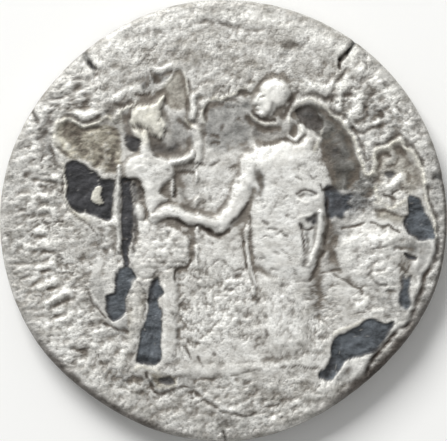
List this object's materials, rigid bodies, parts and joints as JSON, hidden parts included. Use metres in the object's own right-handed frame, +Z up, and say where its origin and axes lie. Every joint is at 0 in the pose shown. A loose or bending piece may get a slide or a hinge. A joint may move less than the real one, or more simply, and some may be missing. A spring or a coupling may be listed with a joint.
{
  "type": "ancient silver coin",
  "caption": "Worn, pitted silver coin, struck in one piece, with two standing figures clasping hands in low relief; lies flat as a collectable or a small prop.",
  "frame": {"origin": "on the plane the coin lies on, under the middle of its outline", "axes": "+Z up out of the side with the two figures, +Y towards the figures' heads, +X to their right as seen from above"},
  "size_m": [0.018, 0.0178, 0.0018],
  "materials": {
    "silver": "worn, porous struck silver with dark and beige toning in the hollows"
  },
  "bodies": {
    "root": {"coin": "silver"}
  },
  "joints": []
}
